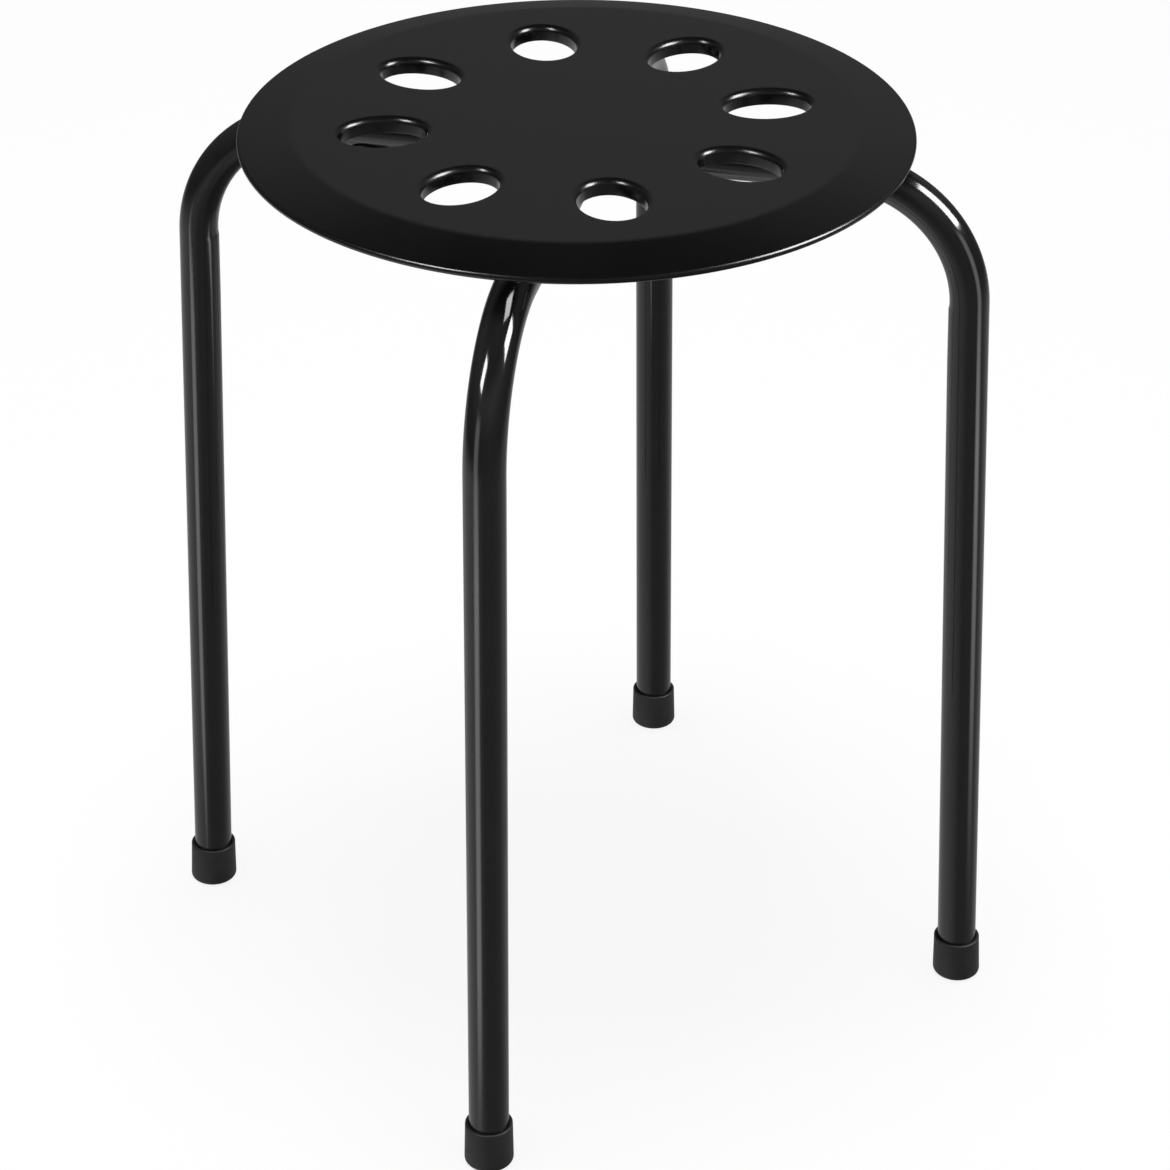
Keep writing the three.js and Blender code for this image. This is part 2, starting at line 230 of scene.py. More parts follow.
seatCoat = makeFinish("seatCoat", {  # satin black powder coat
    "darkTone": (0.0028, 0.0028, 0.003),
    "paleTone": (0.0038, 0.0038, 0.004),
    "smooth": 0.22,
    "rough": 0.25,
    "grainScale": 2600.0,
    "patchScale": 22.0,
    "bump": 0.18,
    "bumpDepth": 0.00012,
})
tubeCoat = makeFinish("tubeCoat", {  # gloss black enamel with a faint orange peel
    "darkTone": (0.0145, 0.0145, 0.0148),
    "paleTone": (0.0165, 0.0165, 0.0168),
    "smooth": 0.09,
    "rough": 0.13,
    "grainScale": 320.0,
    "patchScale": 40.0,
    "bump": 0.05,
    "bumpDepth": 0.0002,
})
capRubber = makeFinish("capRubber", {
    "darkTone": (0.015, 0.015, 0.0155),
    "paleTone": (0.021, 0.021, 0.0215),
    "smooth": 0.5,
    "rough": 0.62,
    "grainScale": 3200.0,
    "patchScale": 160.0,
    "bump": 0.25,
    "bumpDepth": 0.0001,
})
blackPlastic = makeFinish("blackPlastic", {
    "darkTone": (0.015, 0.015, 0.0155),
    "paleTone": (0.02, 0.02, 0.0205),
    "smooth": 0.4,
    "rough": 0.5,
    "grainScale": 4200.0,
    "patchScale": 190.0,
    "bump": 0.2,
    "bumpDepth": 0.00008,
})
zincSteel = makeFinish("zincSteel", {
    "darkTone": (0.44, 0.45, 0.47),
    "paleTone": (0.56, 0.57, 0.58),
    "smooth": 0.28,
    "rough": 0.42,
    "grainScale": 5200.0,
    "patchScale": 420.0,
    "stretch": 0.2,
    "bump": 0.15,
    "bumpDepth": 0.00005,
    "metallic": 1.0,
})
print("materials made")


# Mesh helpers
mergeGap = 1e-6  # points nearer than this become one
sharpEdge = 50  # degrees, from which an edge is shaded sharp


def arcPoints(centre, radius, start, end, steps):
    angles = [start + (end - start) * i / steps for i in range(steps + 1)]
    return [(centre[0] + radius * math.cos(a), centre[1] + radius * math.sin(a)) for a in angles]


def addRings(mesh, rings):
    made = [[mesh.verts.new(point) for point in ring] for ring in rings]
    for low, high in zip(made, made[1:]):
        count = max(len(low), len(high))
        for j in range(count):
            k = (j + 1) % count
            corners = (low[j % len(low)], low[k % len(low)], high[k % len(high)], high[j % len(high)])
            corners = list(dict.fromkeys(corners))
            if len(corners) > 2:
                mesh.faces.new(corners)


def latheRings(profile, sides, height=0.0):
    rings = []
    for radius, z in profile:
        if radius == 0:
            rings.append([Vector((0, 0, z + height))])
            continue
        angles = [fullTurn * i / sides for i in range(sides)]
        rings.append([Vector((radius * math.cos(a), radius * math.sin(a), z + height)) for a in angles])
    return rings


def makePiece(name, mesh, material, node, place, sharpAngle=sharpEdge):
    bmesh.ops.remove_doubles(mesh, verts=mesh.verts, dist=mergeGap)
    bmesh.ops.recalc_face_normals(mesh, faces=mesh.faces)
    mesh.transform(place)
    data = bpy.data.meshes.new(name)
    mesh.to_mesh(data)
    mesh.free()
    data.shade_smooth()
    data.set_sharp_from_angle(angle=math.radians(sharpAngle))
    data.materials.append(material)
    piece = addObject(name, data)
    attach(piece, "root")
    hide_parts(node)
    return piece


# The seat pan, pressed from one sheet. Its heights are measured from the flat top.
seatPan = {
    "sheet": 0.0012,
    "bevelWidth": 0.024,
    "bevelDrop": 0.007,
    "bevelBend": 0.015,
    "hemRadius": 0.0018,
    "hemReturn": 0.005,
    "holes": 8,
    "holeRing": 0.089,
    "holeLength": 0.040,
    "holeWidth": 0.0305,
    "holeRoll": 0.003,
    "holeDepth": 0.0077,
    "holeLip": 0.0005,
    "innerRing": 0.048,  # where the plain middle of the seat starts
    "outerRing": 0.126,  # where the plain border starts
    "outerSteps": 24,  # round the seat, for each hole
    "innerSteps": 12,
    "sideSteps": 14,
    "topRings": 7,  # from a hole's edge to the edge of its sector
    "underRings": 5,
    "ringSpread": 1.4,  # above 1 the rings crowd towards the hole
    "middleRings": 6,
    "bevelSteps": 10,
    "hemSteps": 20,
    "hemInsideSteps": 12,
    "hemEdgeSteps": 6,
    "rollSteps": 10,
    "rollInsideSteps": 8,
    "lipSteps": 4,
}


def seatBorder(look, seatRadius):
    hem = (seatRadius - look["hemRadius"], -look["bevelDrop"])
    flat = seatRadius - look["bevelWidth"]
    reach = math.hypot(hem[0] - flat, hem[1])
    slope = math.atan2(hem[1], hem[0] - flat) + math.asin(look["hemRadius"] / reach)
    bend = (flat - look["bevelBend"] * math.tan(-slope / 2), -look["bevelBend"])
    sheet = look["sheet"]
    innerHem = look["hemRadius"] - sheet
    back = (-math.cos(slope) * look["hemReturn"], -math.sin(slope) * look["hemReturn"])
    down = slope - quarterTurn
    middle = look["hemRadius"] - sheet / 2
    edge = (
        hem[0] + middle * math.cos(down) + back[0],
        hem[1] + middle * math.sin(down) + back[1],
    )
    top = quarterTurn
    return [
        (look["outerRing"], 0),
        *arcPoints(bend, look["bevelBend"], top, top + slope, look["bevelSteps"]),
        *arcPoints(hem, look["hemRadius"], top + slope, down, look["hemSteps"]),
        *arcPoints(edge, sheet / 2, down, down - math.pi, look["hemEdgeSteps"]),
        *arcPoints(hem, innerHem, down, top + slope, look["hemInsideSteps"]),
        *arcPoints(bend, look["bevelBend"] - sheet, top + slope, top, look["bevelSteps"]),
        (look["outerRing"], -sheet),
    ]


def holeSection(look):
    sheet, roll, lip = look["sheet"], look["holeRoll"], look["holeLip"]
    low = -look["holeDepth"] + lip
    bottom = math.pi + quarterTurn
    return [  # outward offset from the clear opening, and height
        *arcPoints((roll, -roll), roll, quarterTurn, math.pi, look["rollSteps"]),
        (0, (low - roll) / 2),
        *arcPoints((lip, low), lip, math.pi, bottom, look["lipSteps"]),
        *arcPoints((sheet - lip, low), lip, bottom, fullTurn, look["lipSteps"]),
        (sheet, (low - roll) / 2),
        *arcPoints((roll, -roll), roll - sheet, math.pi, quarterTurn, look["rollInsideSteps"]),
    ]


def ovalRing(look, count, offset, height):
    ring = []
    for j in range(count):
        along, across = math.cos(fullTurn * j / count), math.sin(fullTurn * j / count)
        edge = Vector((look["holeLength"] / 2 * along, look["holeWidth"] / 2 * across, height))
        outward = Vector((look["holeWidth"] * along, look["holeLength"] * across, 0)).normalized()
        ring.append(edge + outward * offset + Vector((look["holeRing"], 0, 0)))
    return ring


def sectorRing(look, height):
    half = math.pi / look["holes"]
    inner, outer = look["innerRing"], look["outerRing"]
    nOuter, nInner, nSide = look["outerSteps"], look["innerSteps"], look["sideSteps"]
    polar = [(outer, half * 2 * i / nOuter) for i in range(nOuter // 2)]
    polar += [(outer + (inner - outer) * i / nSide, half) for i in range(nSide)]
    polar += [(inner, half - half * 2 * i / nInner) for i in range(nInner)]
    polar += [(inner + (outer - inner) * i / nSide, -half) for i in range(nSide)]
    polar += [(outer, -half + half * 2 * i / nOuter) for i in range(nOuter // 2)]
    return [Vector((r * math.cos(a), r * math.sin(a), height)) for r, a in polar]


def blendRings(inside, outside, steps):
    rings = []
    for i in range(steps + 1):
        share = (i / steps) ** seatPan["ringSpread"]
        rings.append([a.lerp(b, share) for a, b in zip(inside, outside)])
    return rings


def makeSeat():
    look = seatPan
    low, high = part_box("seat_pan")
    seatRadius = (high.x - low.x) / 2
    mesh = bmesh.new()
    count = look["outerSteps"] + look["innerSteps"] + 2 * look["sideSteps"]
    section = holeSection(look)
    edge = [ovalRing(look, count, offset, height) for offset, height in section]
    top = blendRings(edge[0], sectorRing(look, 0), look["topRings"])
    under = blendRings(edge[-1], sectorRing(look, -look["sheet"]), look["underRings"])
    sector = [*reversed(top[1:]), *edge, *under[1:]]
    for i in range(look["holes"]):
        turn = Matrix.Rotation(fullTurn * (i + 0.5) / look["holes"], 4, "Z")
        addRings(mesh, [[turn @ point for point in ring] for ring in sector])
    middle = range(look["middleRings"], -1, -1)
    for height in (0, -look["sheet"]):
        disc = [(look["innerRing"] * i / look["middleRings"], height) for i in middle]
        addRings(mesh, latheRings(disc, look["holes"] * look["innerSteps"]))
    border = seatBorder(look, seatRadius)
    addRings(mesh, latheRings(border, look["holes"] * look["outerSteps"]))
    place = Matrix.Translation((0, 0, high.z))
    return makePiece("seatPan", mesh, seatCoat, "seat_pan", place)


makeSeat().visible_glossy = False  # the tubes mirror the room above it instead
print("seat pan made")


# The two leg frames. Each is one tube: foot, leg, bend, level run, bend, leg, foot.
legTube = {
    "wall": 0.0012,
    "bendRadius": 0.063,
    "levelRun": 0.241,
    "pressedDepth": 0.0034,
    "pressedLength": 0.021,
    "pressedBlend": 0.014,
    "pressedCrease": 0.0007,  # how softly the pressed flat turns into the round
    "pressedBulge": 0.0003,  # sideways, where the tube gives way
    "studBore": 0.0033,
    "access": 0.0065,  # radius of the hole below each nut
    "bendFlat": 0.0007,  # how much the bending die flattens the inner side of a bend
    "bendFlatStart": 0.012,
    "bendFlatEnd": 0.005,
    "bendFlatFocus": 3,  # how closely the flattening keeps to the inner side
    "pressedOnset": 8,  # how soon the pressing sets in along its blend
    "sides": 64,
    "holeSides": 48,
    "pressedSteps": 4,  # along the tube, from the middle to the foot
    "blendSteps": 14,
    "levelSteps": 8,
    "bendSteps": 48,
    "bendEndSteps": 4,
    "bendEndStep": 0.001,
    "legSteps": 12,
}

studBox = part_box("seat_stud_right")
studCircle = (studBox[0].x + studBox[1].x) / 2


def legLean(height):
    across, down = footRadius - legTube["levelRun"] / 2, height - legTube["bendRadius"]
    return math.acos(legTube["bendRadius"] / math.hypot(across, down)) - math.atan2(down, across)


def spreadSteps(start, length, count):
    return [start + length * i / count for i in range(count)]


def frameStations(lean, height, footHeight):
    run = legTube["levelRun"] / 2
    bend = legTube["bendRadius"] * (quarterTurn - lean)
    bendEnd = height - legTube["bendRadius"] * (1 - math.sin(lean))
    leg = (bendEnd - footHeight) / math.cos(lean)
    flat = legTube["pressedLength"] / 2
    blend = legTube["pressedBlend"]
    clear, bent = flat + blend, run + bend
    half = [
        *spreadSteps(0, flat, legTube["pressedSteps"]),
        *spreadSteps(flat, blend, legTube["blendSteps"]),
        *spreadSteps(clear, run - clear, legTube["levelSteps"]),
        *spreadSteps(run, bend, legTube["bendSteps"]),
        *[bent + legTube["bendEndStep"] * i for i in range(legTube["bendEndSteps"])],
        *spreadSteps(bent, leg, legTube["legSteps"])[1:],
        bent + leg,
    ]
    return [-s for s in reversed(half[1:])] + half


def smoothStep(value):
    value = min(max(value, 0), 1)
    return value * value * (3 - 2 * value)


def pressPoint(point, height, along, radius, side):
    out = (abs(along) - legTube["pressedLength"] / 2) / legTube["pressedBlend"]
    share = 1 - smoothStep(out)
    rise = side * (point.z - height)
    over = rise - (radius - legTube["pressedDepth"] * share)
    crease = legTube["pressedCrease"]
    if share == 0 or over < -crease:
        taken = 0
    elif over > crease:
        taken = over
    else:
        taken = (over + crease) ** 2 / (4 * crease)
    point.z -= side * taken * min(1, share * legTube["pressedOnset"])
    point.y *= 1 + legTube["pressedBulge"] * share / radius
    return point


def frameRing(along, height, lean, radius, side):
    distance, hand = abs(along), math.copysign(1, along)
    run, bendRadius = legTube["levelRun"] / 2, legTube["bendRadius"]
    bend = bendRadius * (quarterTurn - lean)
    turned = min(max(distance - run, 0), bend) / bendRadius
    down = max(distance - run - bend, 0)
    x = min(distance, run) + bendRadius * math.sin(turned) + down * math.sin(lean)
    z = height - bendRadius * (1 - math.cos(turned)) - down * math.cos(lean)
    centre = Vector((hand * x, 0, z))
    outward = Vector((hand * math.sin(turned), 0, math.cos(turned)))
    flat = legTube["bendFlat"] * smoothStep((distance - run) / legTube["bendFlatStart"])
    flat *= smoothStep((run + bend + legTube["bendFlatEnd"] - distance) / legTube["bendFlatEnd"])
    ring = []
    for i in range(legTube["sides"]):
        angle = fullTurn * i / legTube["sides"]
        inward = max(-math.cos(angle), 0) ** legTube["bendFlatFocus"]
        share = math.cos(angle) + flat / radius * inward
        offset = outward * share + Vector((0, math.sin(angle), 0))
        ring.append(pressPoint(centre + offset * radius, height, along, radius, side))
    return ring


def cutHole(piece, x, y, radius, low, high):
    hole = bmesh.new()
    bmesh.ops.create_cone(
        hole,
        cap_ends=True,
        segments=legTube["holeSides"],
        radius1=radius,
        radius2=radius,
        depth=high - low,
    )
    hole.transform(Matrix.Translation((x, y, (low + high) / 2)))
    data = bpy.data.meshes.new("holeCutter")
    hole.to_mesh(data)
    hole.free()
    cutter = addObject("holeCutter", data)
    cut = piece.modifiers.new("hole", "BOOLEAN")
    cut.operation, cut.solver, cut.object = "DIFFERENCE", "EXACT", cutter
    graph = bpy.context.evaluated_depsgraph_get()
    result = bpy.data.meshes.new_from_object(piece.evaluated_get(graph))
    piece.modifiers.clear()
    piece.data = result
    bpy.data.objects.remove(cutter)


def makeLegFrame(node, side):
    low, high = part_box(node)
    thin = min(high.x - low.x, high.y - low.y)
    radius = thin / 2
    height = high.z - radius
    lean = legLean(height)
    quarter = endTurns[frameEnds[node][0]]
    stations = frameStations(lean, height, low.z + radius * math.sin(lean))
    outer = [frameRing(s, height, lean, radius, side) for s in stations]
    inner = [frameRing(s, height, lean, radius - legTube["wall"], side) for s in stations]
    mesh = bmesh.new()
    addRings(mesh, [*outer, *reversed(inner), outer[0]])
    turn = Matrix.Rotation(quarterTurn * quarter, 4, "Z")
    name = {"upper_leg_frame": "upperLegFrame", "lower_leg_frame": "lowerLegFrame"}[node]
    piece = makePiece(name, mesh, tubeCoat, node, turn)
    for end in frameEnds[node]:
        angle = quarterTurn * endTurns[end]
        x, y = studCircle * math.cos(angle), studCircle * math.sin(angle)
        cutHole(piece, x, y, legTube["studBore"], height, height + 2 * radius)
        cutHole(piece, x, y, legTube["access"], height - 2 * radius, height)
    piece.data.set_sharp_from_angle(angle=math.radians(sharpEdge))
    return height, radius, lean


tubeAt = {}
for frameNode, pressedSide in (("upper_leg_frame", -1), ("lower_leg_frame", 1)):
    made = makeLegFrame(frameNode, pressedSide)
    for frameEnd in frameEnds[frameNode]:
        tubeAt[frameEnd] = made
print("leg frames made")


# Rubber caps over the ends of the legs. They lean with the legs and stand flat on the floor.
footCap = {
    "topRadius": 0.0113,
    "baseRadius": 0.0117,
    "sole": 0.003,
    "soleRound": 0.0024,
    "mouthRound": 0.0005,
    "mouthInsideShare": 1 / 3,  # of the mouth's round, on the side of the bore
    "fit": 0.0003,
    "sides": 72,
    "soleSteps": 10,
    "mouthSteps": 5,
}


def makeFootCap(end):
    low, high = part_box(f"foot_cap_{end}")
    look = footCap
    top = high.z - low.z
    _, tubeRadius, lean = tubeAt[end]
    bore = tubeRadius / math.cos(lean) + look["fit"]
    lip, base = look["mouthRound"], look["soleRound"]
    profile = [
        (0, 0),
        (look["baseRadius"] / 2, 0),
        *arcPoints((look["baseRadius"] - base, base), base, -quarterTurn, 0, look["soleSteps"]),
        *arcPoints((look["topRadius"] - lip, top - lip), lip, 0, quarterTurn, look["mouthSteps"]),
        (bore, top - lip * look["mouthInsideShare"]),
        (bore, look["sole"]),
        (0, look["sole"]),
    ]
    mesh = bmesh.new()
    addRings(mesh, latheRings(profile, look["sides"]))
    for vert in mesh.verts:
        vert.co.x += footRadius - math.tan(lean) * vert.co.z
    turn = Matrix.Rotation(quarterTurn * endTurns[end], 4, "Z")
    makePiece(f"footCap_{end}", mesh, capRubber, f"foot_cap_{end}", turn)


for frameEnd in endTurns:
    makeFootCap(frameEnd)
print("foot caps made")


# Spacers between the seat and the tubes, each with a saddle that fits the tube.
spacer = {
    "fit": 0.0003,
    "wrap": 0.003,
    "radius": 0.008,
    "edge": 0.0006,
    "soften": 0.0005,  # where the saddle meets the flat ends beside it
    "flangeRadius": 0.0048,
    "flangeDepth": 0.0013,
    "sides": 72,
    "saddleSteps": 8,
    "edgeSteps": 4,
}


def softMax(first, second, width):
    gap = max(width - abs(first - second), 0) / width
    return max(first, second) + gap * gap * width / 4


def saddleRing(radius, drop, side, end):
    tubeHeight, tubeRadius, _ = tubeAt[end]
    ring = []
    for i in range(spacer["sides"]):
        angle = fullTurn * i / spacer["sides"]
        x, y = radius * math.cos(angle), radius * math.sin(angle)
        curve = math.sqrt(max((tubeRadius + spacer["fit"]) ** 2 - y * y, 0))
        depth = softMax(curve, tubeRadius - spacer["wrap"], spacer["soften"]) + drop
        ring.append(Vector((x, y, tubeHeight + side * depth)))
    return ring


def saddleRings(inner, outer, side, end):
    edge, count = spacer["edge"], spacer["saddleSteps"]
    rounded = arcPoints((0, 0), edge, 0, quarterTurn, spacer["edgeSteps"])[1:]
    steps = [(inner + (outer - edge - inner) * i / count, 0) for i in range(count + 1)]
    steps += [(outer - edge + r, edge - h) for h, r in rounded]
    return [saddleRing(radius, drop, side, end) for radius, drop in steps]


def underSeat(end):
    turn = Matrix.Rotation(quarterTurn * endTurns[end], 4, "Z")
    return turn @ Matrix.Translation((studCircle, 0, 0))


def makeSpacer(end):
    look = spacer
    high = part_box(f"seat_spacer_{end}")[1].z
    bore, edge, floor = legTube["studBore"], look["edge"], high - look["flangeDepth"]
    saddle = saddleRings(bore, look["radius"], 1, end)
    far = [
        *arcPoints((look["radius"] - edge, high - edge), edge, 0, quarterTurn, look["edgeSteps"]),
        (look["flangeRadius"], high),
        (look["flangeRadius"], floor),
        (bore, floor),
    ]
    mesh = bmesh.new()
    addRings(mesh, [*saddle, *latheRings(far, look["sides"]), saddle[0]])
    name, node = f"seatSpacer_{end}", f"seat_spacer_{end}"
    makePiece(name, mesh, blackPlastic, node, underSeat(end))


for frameEnd in endTurns:
    makeSpacer(frameEnd)
print("spacers made")


# Stacking bumpers, pushed into the access holes. The upper frame has tall ones with a moulded
# recess, and the lower frame low buttons that follow the tube, so all four end on one level.
bumper = {
    "radius": 0.0082,
    "recess": 0.0062,
    "seat": 0.003,  # between the tube and the recess
    "shank": 0.0062,  # radius of the plug inside the tube
    "shankChamfer": 0.0008,
    "buttonRadius": 0.0075,
    "buttonHead": 0.001,
    "buttonEdge": 0.0004,
    "recessSteps": 3,
    "buttonEdgeSteps": 5,
    "buttonRings": 8,
}


def buttonRing(radius, reach, end):
    ring = []
    for i in range(spacer["sides"]):
        angle = fullTurn * i / spacer["sides"]
        x, y = radius * math.cos(angle), radius * math.sin(angle)
        ring.append(Vector((x, y, tubeAt[end][0] - math.sqrt(reach * reach - y * y))))
    return ring


def makeBumper(end):
    look = bumper
    tubeHeight, tubeRadius, _ = tubeAt[end]
    low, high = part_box(f"stacking_bumper_{end}")
    chamfer = look["shankChamfer"]
    plug = [(0, high.z), (look["shank"] - chamfer, high.z), (look["shank"], high.z - chamfer)]
    rings = latheRings(plug, spacer["sides"])
    reach = tubeRadius + spacer["fit"]
    if end in frameEnds["upper_leg_frame"]:
        edge = spacer["edge"]
        ceiling = tubeHeight - reach - look["seat"]
        outside = (look["radius"] - edge, low.z + edge)
        inside = (look["recess"] + edge / 2, low.z + edge / 2)
        far = [
            *arcPoints(outside, edge, 0, -quarterTurn, spacer["edgeSteps"]),
            *arcPoints(inside, edge / 2, -quarterTurn, -math.pi, look["recessSteps"]),
            (look["recess"], ceiling),
            (0, ceiling),
        ]
        rings += saddleRings(look["shank"], look["radius"], -1, end)
        rings += latheRings(far, spacer["sides"])
    else:
        wide, edge, thick = look["buttonRadius"], look["buttonEdge"], look["buttonHead"]
        rings += [buttonRing(look["shank"], reach, end), buttonRing(wide - edge, reach, end)]
        bottom = reach + thick - edge
        for r, h in arcPoints((wide - edge, bottom), edge, 0, quarterTurn, look["buttonEdgeSteps"]):
            rings.append(buttonRing(r, h, end))
        for i in range(1, look["buttonRings"]):
            share = 1 - i / look["buttonRings"]
            rings.append(buttonRing((wide - edge) * share, reach + thick, end))
        rings.append([Vector((0, 0, tubeHeight - reach - thick))])
    mesh = bmesh.new()
    addRings(mesh, rings)
    name, node = f"stackingBumper_{end}", f"stacking_bumper_{end}"
    makePiece(name, mesh, blackPlastic, node, underSeat(end))


for frameEnd in endTurns:
    makeBumper(frameEnd)
print("bumpers made")


# Welded studs with a rolled thread, and the nuts that hold the frames on them.
fasteners = {
    "studRadius": 0.003,
    "threadDepth": 0.00045,
    "threadPitch": 0.001,
    "threadLength": 0.009,
    "flangeRadius": 0.0045,
    "flangeHeight": 0.001,
    "flangeEdge": 0.0002,
    "rootRound": 0.0006,  # between the stud and its flange
    "rootMiddleShares": (1 / 3, 1 / 6),  # how far out and down the middle of that round lies
    "tipChamfer": 0.0007,
    "stepsPerPitch": 6,
    "studSides": 36,
    "nutSides": 6,
    "nutCorner": 0.005774,  # from the middle to a corner, before the chamfer
    "nutChamfer": 0.0051,  # radius where the chamfered corners start
    "nutChamferSlope": 30,  # degrees
    "nutFaceShare": 0.995,  # at most, of the distance to a flat
    "nutBoreRadius": 0.0031,
    "nutCountersink": 0.0004,
    "nutSharpEdge": 25,
    "flatSteps": 10,
}


def makeStud(end):
    look = fasteners
    low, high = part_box(f"seat_stud_{end}")
    sides = look["studSides"]
    count = round(look["threadLength"] / look["threadPitch"] * look["stepsPerPitch"])
    rings = [[Vector((0, 0, low.z))]]
    for i in range(count + 1):
        z = low.z + look["threadLength"] * i / count
        tip = look["tipChamfer"] - min(look["tipChamfer"], z - low.z)
        fade = min(1, (low.z + look["threadLength"] - z) / look["threadPitch"])
        ring = []
        for j in range(sides):
            phase = (i / look["stepsPerPitch"] - j / sides) % 1
            groove = look["threadDepth"] * fade * abs(2 * phase - 1)
            radius = look["studRadius"] - max(groove, tip)
            angle = fullTurn * j / sides
            ring.append(Vector((radius * math.cos(angle), radius * math.sin(angle), z)))
        rings.append(ring)
    under = high.z - look["flangeHeight"]
    root, edge = look["rootRound"], look["flangeEdge"]
    out, down = look["rootMiddleShares"]
    shank = [
        (look["studRadius"], under - root),
        (look["studRadius"] + root * out, under - root * down),
        (look["studRadius"] + root, under),
        (look["flangeRadius"] - edge, under),
        (look["flangeRadius"], under + edge),
        (look["flangeRadius"], high.z),
        (0, high.z),
    ]
    mesh = bmesh.new()
    addRings(mesh, [*rings, *latheRings(shank, sides)])
    makePiece(f"seatStud_{end}", mesh, zincSteel, f"seat_stud_{end}", underSeat(end))


def makeNut(end):
    look = fasteners
    low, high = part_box(f"frame_nut_{end}")
    height = high.z - low.z
    sides = look["nutSides"] * look["flatSteps"]
    halfSide = math.pi / look["nutSides"]
    apothem = look["nutCorner"] * math.cos(halfSide)
    slope = math.tan(math.radians(look["nutChamferSlope"]))
    outline = []
    for i in range(sides):
        angle = fullTurn * i / sides
        radius = apothem / math.cos(angle % (2 * halfSide) - halfSide)
        outline.append((radius, angle))

    def ring(limit, z, isEdge):
        points = []
        for radius, angle in outline:
            corner = max(radius - look["nutChamfer"], 0) * slope
            r = min(radius, limit)
            drop = corner if isEdge else 0
            lift = -drop if z > height / 2 else drop
            points.append(Vector((r * math.cos(angle), r * math.sin(angle), low.z + z + lift)))
        return points

    sink = look["nutCountersink"]
    bore = look["nutBoreRadius"]
    inner = [(bore + sink, height), (bore, height - sink), (bore, sink), (bore + sink, 0)]
    wide = look["nutCorner"]
    flat = min(look["nutChamfer"], apothem * look["nutFaceShare"])
    rings = [
        ring(flat, 0, False),
        ring(wide, 0, True),
        ring(wide, height, True),
        ring(flat, height, False),
        *latheRings(inner, sides, low.z),
        ring(flat, 0, False),
    ]
    mesh = bmesh.new()
    addRings(mesh, rings)
    name, node = f"frameNut_{end}", f"frame_nut_{end}"
    makePiece(name, mesh, zincSteel, node, underSeat(end), look["nutSharpEdge"])


for frameEnd in endTurns:
    makeStud(frameEnd)
    makeNut(frameEnd)
print("studs and nuts made")


# Floor and light. In the coats' gloss the floor is clear, and the room and its cards show through.
studio = {
    "floorRadius": 9.0,
    "floorSides": 96,
    "floorTone": 0.42,
    "shadowTone": 0.17,  # for the camera: how much of the floor takes the stool's shadow
    "floorGlow": 0.86,  # and the rest, up to white
    "skyFill": 0.5,
    "backdropGlow": 1.25,  # for the camera, past the floor's edge: white
    "cardDepth": 0.001,  # of the lying cards, below the floor
    "aimHeight": 0.42,  # where the lamps point
}

# The soft light over the stool. Bearings are in degrees from the photograph's side, here and below.
overhead = {"bearing": 0, "elevation": 88, "away": 2.4, "size": (1.0, 1.0), "power": 37}

# The windows light the gloss alone. Some are shown by one leg frame only, or by all but one.
windows = {
    "windowRight": {
        "bearing": 80, "elevation": 32, "away": 1.6, "size": (0.8, 0.8), "glow": 26,
        "shownBy": "allButLower",
    },
    "windowFront": {
        "bearing": -52, "elevation": 41, "away": 1.6, "size": (0.4, 0.58), "glow": 26,
    },
    "windowMiddle": {
        "bearing": 80, "elevation": 37, "away": 1.6, "size": (0.6, 0.56), "glow": 26,
        "shownBy": "lowerLegFrame",
    },
    "windowHigh": {
        "bearing": 114, "elevation": 69, "away": 1.6, "size": (0.66, 0.5), "glow": 11,
        "shownBy": "lowerLegFrame",
    },
}

# The room in the coats' gloss, as pairs of place and tone. The first row goes by height, from 0 at
# the horizon to 1 overhead, and the next three by bearing. The fades are heights, down to -1.
room = {
    "high": ((0, 0.15), (0.12, 0.15), (0.42, 0.285), (0.56, 0.275), (0.78, 0.02), (1, 0.02)),
    "highAround": ((-180, 0.93), (-165, 0.76), (-150, 0.55), (-90, 0.55), (-30, 1.0), (30, 1.5),
                   (60, 1.2), (120, 0.7), (150, 0.85), (180, 0.93)),
    "low": ((-180, 0.7), (-150, 0.75), (-128, 0.8), (-106, 0.85), (-90, 0.85), (-66, 0.8),
            (-38, 0.6), (-22, 0.45), (-8, 0.28), (42, 0.28), (72, 0.33), (89, 0.42), (106, 0.58),
            (128, 0.65), (150, 0.65), (180, 0.7)),
    "deep": ((-180, 0.6), (-150, 0.6), (-120, 0.8), (-90, 1.1), (-60, 1.3), (-40, 1.25), (-25, 0.95),
             (-12, 0.5), (3, 0.3), (20, 0.13), (120, 0.15), (150, 0.3), (180, 0.6)),
    "lowFade": (-0.42, -0.15),
    "deepFade": (-0.72, -0.56),
}

